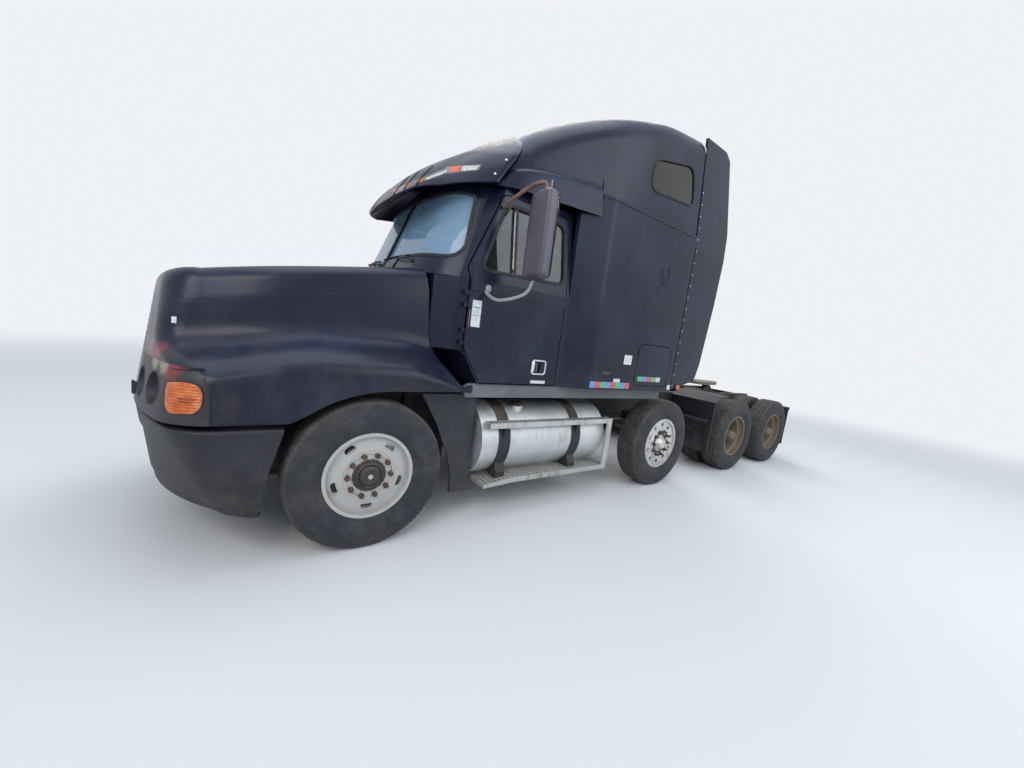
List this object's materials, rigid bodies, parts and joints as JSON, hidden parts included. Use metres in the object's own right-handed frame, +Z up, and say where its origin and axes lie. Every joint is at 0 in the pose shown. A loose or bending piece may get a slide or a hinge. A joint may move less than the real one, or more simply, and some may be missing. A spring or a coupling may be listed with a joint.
{
  "type": "semi truck tractor unit",
  "caption": "Bonneted tractor unit with raised-roof sleeper, lifting pusher axle, twin drive axles, tilting bonnet, opening doors and fifth wheel.",
  "frame": {"origin": "centre of the overall box at ground level", "axes": "+X to the driver's (left) side, +Y towards the rear, +Z up"},
  "size_m": [3.02, 8.5332, 3.965],
  "materials": {
    "faded_paint": "faded satin",
    "dark_steel": "dusty matt",
    "plate_steel": "greased and worn",
    "engine_iron": "rough",
    "black_plastic": "scuffed",
    "rubber_flap": "matt",
    "bare_aluminium": "dull",
    "grey_trim": "matt",
    "white_steel": "dirty white",
    "dirty_steel": "dusty",
    "tyre": "dusty",
    "window_glass": "clear",
    "lamp_lens": "hazed",
    "amber_lens": "ribbed",
    "red_lens": "ribbed",
    "mirror_housing": "faded",
    "seat_fabric": "woven"
  },
  "bodies": {
    "chassis": {"frame_rails": "dark_steel", "crossmembers": "dark_steel", "front_axle": "dark_steel", "suspension": "dark_steel", "pusher_axle": "dark_steel", "drive_axles": "dark_steel", "engine": "engine_iron", "radiator": "bare_aluminium", "fuel_tanks": "bare_aluminium", "tank_straps": "dark_steel", "steps": "bare_aluminium", "cab_shell": "faded_paint", "sleeper_shell": "faded_paint", "roof_cap": "faded_paint", "sun_visor": "faded_paint", "cab_glass": "window_glass", "side_extenders": "faded_paint", "sill_rails": "grey_trim", "seats": "seat_fabric", "dashboard": "black_plastic", "bumper": "black_plastic", "splash_flaps": "rubber_flap", "quarter_fenders": "black_plastic", "mud_flaps": "rubber_flap", "tail_lamps": "red_lens", "fifth_wheel_base": "dark_steel"},
    "hood": {"hood": "faded_paint", "grille": "black_plastic", "lamp_bezels": "black_plastic", "headlamps": "lamp_lens", "turn_lamps": "amber_lens"},
    "door_left": {"door_left": "faded_paint", "door_glass_left": "window_glass", "mirror_left": "mirror_housing"},
    "luggage_door_left": {"luggage_door_left": "faded_paint"},
    "knuckle_left": {"knuckle_left": "dark_steel"},
    "door_right": {"door_right": "faded_paint", "door_glass_right": "window_glass", "mirror_right": "mirror_housing"},
    "luggage_door_right": {"luggage_door_right": "faded_paint"},
    "knuckle_right": {"knuckle_right": "dark_steel"},
    "tie_rod": {"tie_rod": "dark_steel"},
    "fifth_wheel_plate": {"fifth_wheel_plate": "plate_steel"},
    "front_wheel_left": {"front_wheel_left": "white_steel", "front_tyre_left": "tyre"},
    "front_wheel_right": {"front_wheel_right": "white_steel", "front_tyre_right": "tyre"},
    "pusher_wheel_left": {"pusher_wheel_left": "bare_aluminium", "pusher_tyre_left": "tyre"},
    "pusher_wheel_right": {"pusher_wheel_right": "bare_aluminium", "pusher_tyre_right": "tyre"},
    "drive_1_wheel_left": {"drive_1_wheel_left": "dirty_steel", "drive_1_tyre_left": "tyre"},
    "drive_1_wheel_right": {"drive_1_wheel_right": "dirty_steel", "drive_1_tyre_right": "tyre"},
    "drive_2_wheel_left": {"drive_2_wheel_left": "dirty_steel", "drive_2_tyre_left": "tyre"},
    "drive_2_wheel_right": {"drive_2_wheel_right": "dirty_steel", "drive_2_tyre_right": "tyre"}
  },
  "joints": [
    {"name": "hood_tilt", "type": "hinge", "parent": "chassis", "child": "hood", "pos_m": [0, -4.115, 0.775], "axis": [1, 0, 0], "range_deg": [0, 75]},
    {"name": "door_left_swing", "type": "hinge", "parent": "chassis", "child": "door_left", "pos_m": [1.093, -2.334, 1.7], "axis": [0, 0, -1], "range_deg": [0, 70]},
    {"name": "luggage_door_left_swing", "type": "hinge", "parent": "chassis", "child": "luggage_door_left", "pos_m": [1.2, -0.3585, 1.43], "axis": [0, 0, -1], "range_deg": [0, 100]},
    {"name": "steer_left", "type": "hinge", "parent": "chassis", "child": "knuckle_left", "pos_m": [0.85, -2.975, 0.52], "axis": [0, 0, 1], "range_deg": [-35, 35]},
    {"name": "door_right_swing", "type": "hinge", "parent": "chassis", "child": "door_right", "pos_m": [-1.093, -2.334, 1.7], "axis": [0, 0, 1], "range_deg": [0, 70]},
    {"name": "luggage_door_right_swing", "type": "hinge", "parent": "chassis", "child": "luggage_door_right", "pos_m": [-1.2, -0.3585, 1.43], "axis": [0, 0, 1], "range_deg": [0, 100]},
    {"name": "steer_right", "type": "hinge", "parent": "chassis", "child": "knuckle_right", "pos_m": [-0.85, -2.975, 0.52], "axis": [0, 0, 1], "range_deg": [-35, 35]},
    {"name": "tie_rod_pivot", "type": "hinge", "parent": "knuckle_left", "child": "tie_rod", "pos_m": [0.85, -2.805, 0.43], "axis": [0, 0, 1], "range_deg": [-35, 35]},
    {"name": "fifth_wheel_tilt", "type": "hinge", "parent": "chassis", "child": "fifth_wheel_plate", "pos_m": [0, 2.785, 1.12], "axis": [1, 0, 0], "range_deg": [-12, 8]},
    {"name": "front_wheel_left_spin", "type": "hinge", "parent": "knuckle_left", "child": "front_wheel_left", "pos_m": [1.0375, -2.975, 0.52], "axis": [1, 0, 0], "continuous": true},
    {"name": "front_wheel_right_spin", "type": "hinge", "parent": "knuckle_right", "child": "front_wheel_right", "pos_m": [-1.0375, -2.975, 0.52], "axis": [1, 0, 0], "continuous": true},
    {"name": "pusher_wheel_left_spin", "type": "hinge", "parent": "chassis", "child": "pusher_wheel_left", "pos_m": [1.0325, 0.428, 0.52], "axis": [1, 0, 0], "continuous": true},
    {"name": "pusher_wheel_right_spin", "type": "hinge", "parent": "chassis", "child": "pusher_wheel_right", "pos_m": [-1.0325, 0.428, 0.52], "axis": [1, 0, 0], "continuous": true},
    {"name": "drive_1_wheel_left_spin", "type": "hinge", "parent": "chassis", "child": "drive_1_wheel_left", "pos_m": [0.9, 2.255, 0.52], "axis": [1, 0, 0], "continuous": true},
    {"name": "drive_1_wheel_right_spin", "type": "hinge", "parent": "chassis", "child": "drive_1_wheel_right", "pos_m": [-0.9, 2.255, 0.52], "axis": [1, 0, 0], "continuous": true},
    {"name": "drive_2_wheel_left_spin", "type": "hinge", "parent": "chassis", "child": "drive_2_wheel_left", "pos_m": [0.9, 3.574, 0.52], "axis": [1, 0, 0], "continuous": true},
    {"name": "drive_2_wheel_right_spin", "type": "hinge", "parent": "chassis", "child": "drive_2_wheel_right", "pos_m": [-0.9, 3.574, 0.52], "axis": [1, 0, 0], "continuous": true}
  ],
  "couplings": [
    {"joint": "steer_right", "follows": "steer_left", "ratio": 1},
    {"joint": "tie_rod_pivot", "follows": "steer_left", "ratio": -1}
  ]
}
